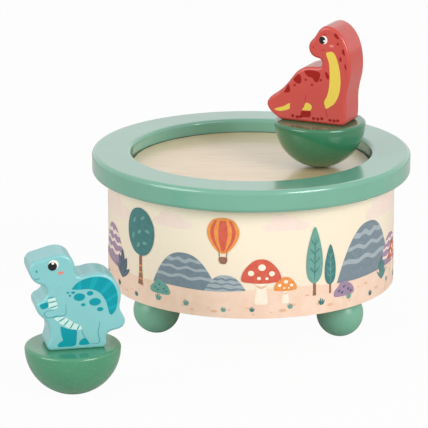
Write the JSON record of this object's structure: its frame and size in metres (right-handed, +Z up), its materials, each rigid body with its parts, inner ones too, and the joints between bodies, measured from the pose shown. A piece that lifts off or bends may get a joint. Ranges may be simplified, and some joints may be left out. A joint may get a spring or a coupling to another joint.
{
  "type": "musical toy drum with dancing figures",
  "caption": "Wind-up wooden music drum on ball feet, with a recessed stage where magnets under the floor lead painted animal figures on half-ball bases.",
  "frame": {"origin": "on the drum's axis, on the floor plane under its feet", "axes": "+Z up along the drum's axis, -Y towards the viewer at the front, +X to the viewer's right"},
  "size_m": [0.1819, 0.2101, 0.1507],
  "materials": {
    "green_lacquer": "glossy sage green lacquer on turned wood",
    "birch_plywood": "sanded pale birch plywood, thin matt varnish",
    "wall_plywood": "raw bent plywood",
    "printed_paper": null,
    "zinc_plated_steel": "bright zinc plating",
    "die_cast_zinc": "die-cast zinc, satin",
    "nickel_plate": "nickel-plated steel",
    "turned_steel": "turned steel",
    "spring_steel": "tempered spring steel",
    "brass": "turned and pressed brass",
    "white_nylon": "moulded nylon",
    "magnet_nickel": "nickel-plated magnet",
    "dark_green_lacquer": "glossy deep green lacquer",
    "red_lacquer": "glossy warm red lacquer with printed details",
    "light_green_lacquer": "glossy mid green lacquer",
    "teal_lacquer": "glossy pale teal lacquer with printed details",
    "beech": "plain turned beech"
  },
  "bodies": {
    "root": {"rim_ring": "green_lacquer", "stage_disc": "birch_plywood", "drum_wall": "wall_plywood", "printed_band": "printed_paper", "base_board": "wall_plywood", "foot_front_left": "green_lacquer", "foot_front_right": "green_lacquer", "foot_rear": "green_lacquer", "foot_screws": "zinc_plated_steel", "bedplate": "die_cast_zinc", "bedplate_screws": "zinc_plated_steel", "spindle_bridge": "turned_steel", "comb_block": "die_cast_zinc", "tone_comb": "spring_steel", "comb_screws": "zinc_plated_steel", "governor_frame": "brass", "governor_screws": "zinc_plated_steel"},
    "key": {"winding_key": "nickel_plate", "winding_arbor": "turned_steel"},
    "arm": {"spring_barrel": "brass", "barrel_cap": "brass", "mainspring": "spring_steel", "drive_spindle": "turned_steel", "magnet_arm": "white_nylon", "arm_magnets": "magnet_nickel"},
    "cylinder": {"pinned_cylinder": "brass", "cylinder_arbor": "turned_steel", "cylinder_pinion": "brass", "cylinder_wheel": "white_nylon"},
    "middle": {"middle_arbor": "turned_steel", "middle_pinion": "brass", "middle_wheel": "white_nylon"},
    "fan": {"fan_arbor": "turned_steel", "fan_pinion": "brass", "governor_fan": "white_nylon"},
    "red_figure": {"red_base": "dark_green_lacquer", "red_magnet": "magnet_nickel", "red_weight": "turned_steel", "red_peg": "beech", "red_animal": "red_lacquer"},
    "teal_figure": {"teal_base": "light_green_lacquer", "teal_magnet": "magnet_nickel", "teal_weight": "turned_steel", "teal_peg": "beech", "teal_animal": "teal_lacquer"}
  },
  "joints": [
    {"name": "key_turn", "type": "hinge", "parent": "root", "child": "key", "pos_m": [0, 0, 0.015], "axis": [0, 0, 1], "continuous": true},
    {"name": "arm_turn", "type": "hinge", "parent": "root", "child": "arm", "pos_m": [0, 0, 0.06], "axis": [0, 0, 1], "continuous": true},
    {"name": "cylinder_turn", "type": "hinge", "parent": "root", "child": "cylinder", "pos_m": [0.027, 0, 0.04711], "axis": [1, 0, 0], "continuous": true},
    {"name": "middle_turn", "type": "hinge", "parent": "root", "child": "middle", "pos_m": [0.042, 0.01255, 0.04711], "axis": [1, 0, 0], "continuous": true},
    {"name": "fan_turn", "type": "hinge", "parent": "root", "child": "fan", "pos_m": [0.042, 0.0251, 0.04711], "axis": [1, 0, 0], "continuous": true},
    {"name": "red_rock", "type": "hinge", "parent": "arm", "child": "red_figure", "pos_m": [0.0331, -0.0081, 0.10149], "axis": [0.4226, 0.9063, 0], "range_deg": [-20, 20], "stiffness_Nm_per_rad": 0.05},
    {"name": "teal_rock", "type": "hinge", "parent": "root", "child": "teal_figure", "pos_m": [-0.0824, -0.1106, 0.022], "axis": [-0.2079, 0.9781, 0], "range_deg": [-25, 25]}
  ],
  "couplings": [
    {"joint": "cylinder_turn", "follows": "arm_turn", "ratio": 3},
    {"joint": "middle_turn", "follows": "arm_turn", "ratio": -12},
    {"joint": "fan_turn", "follows": "arm_turn", "ratio": 48}
  ]
}
